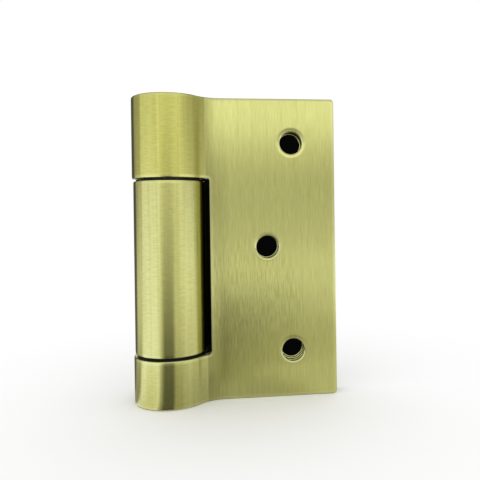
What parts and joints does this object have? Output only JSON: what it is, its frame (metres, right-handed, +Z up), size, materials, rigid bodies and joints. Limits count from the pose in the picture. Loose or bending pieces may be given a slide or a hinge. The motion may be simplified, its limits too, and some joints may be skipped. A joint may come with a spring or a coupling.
{
  "type": "spring hinge",
  "caption": "Self-closing door hinge in satin brass: bent sheet leaves around a fat barrel that holds a torsion spring and a keyed tension spindle, with zigzag screw holes.",
  "frame": {"origin": "on the pin axis, at the bottom end of the barrel", "axes": "+Z up along the pin axis, +X from the pin towards the leaves' free edges when shut, +Y out of the door leaf's outer face"},
  "size_m": [0.0685, 0.0248, 0.1016],
  "materials": {
    "satin_brass": "satin, brushed lengthwise",
    "turned_steel": "turned",
    "spring_steel": "oiled, dark",
    "black_nylon": "matt"
  },
  "bodies": {
    "frame_side": {"frame_leaf": "satin_brass", "lower_bush": "black_nylon", "top_cap": "satin_brass", "bottom_cap": "satin_brass"},
    "door_side": {"door_leaf": "satin_brass", "anchor_spindle": "turned_steel", "anchor_pin": "turned_steel", "upper_bush": "black_nylon"},
    "winder": {"tension_spindle": "turned_steel", "locking_pin": "turned_steel", "torsion_spring": "spring_steel"}
  },
  "joints": [
    {"name": "leaf_swing", "type": "hinge", "parent": "frame_side", "child": "door_side", "pos_m": [0, 0, 0], "axis": [0, 0, 1], "range_deg": [0, 180], "stiffness_Nm_per_rad": 0.6, "springref_deg": -91.67, "deforming": ["torsion_spring"]},
    {"name": "tension_adjust", "type": "hinge", "parent": "frame_side", "child": "winder", "pos_m": [0, 0, 0], "axis": [0, 0, -1], "range_deg": [0, 60], "stiffness_Nm_per_rad": 0.6, "springref_deg": -91.67, "deforming": ["torsion_spring"]}
  ]
}
